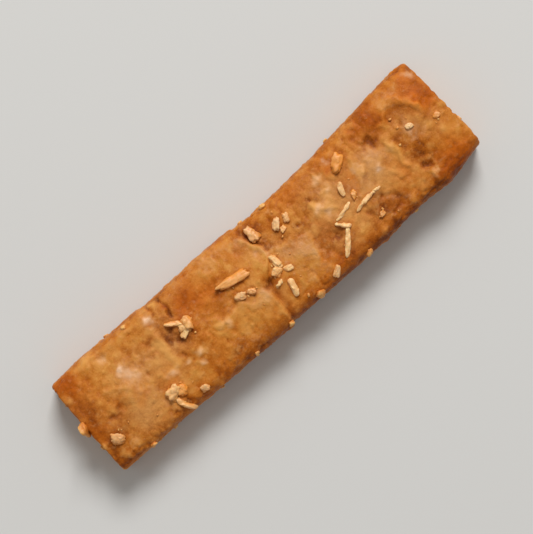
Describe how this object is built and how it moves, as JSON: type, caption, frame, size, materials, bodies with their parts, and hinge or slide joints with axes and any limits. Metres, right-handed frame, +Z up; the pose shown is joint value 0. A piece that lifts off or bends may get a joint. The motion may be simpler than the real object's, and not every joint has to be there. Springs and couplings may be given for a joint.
{
  "type": "breadstick",
  "caption": "Short flat baked breadstick of folded dough with square-cut ends and baked-on grated cheese and seeds; a snack piece that lies flat.",
  "frame": {"origin": "middle of the flat base's footprint", "axes": "+X along the stick, +Y across it, +Z up out of the browned top"},
  "size_m": [0.0934, 0.0236, 0.0109],
  "materials": {
    "crust": "golden-brown baked dough, slightly oily, with darker seams and paler blisters",
    "cheese": "dry toasted grated hard cheese",
    "seed": "toasted seed and nut-like crumbs"
  },
  "bodies": {
    "root": {"breadstick": "crust"}
  },
  "joints": []
}
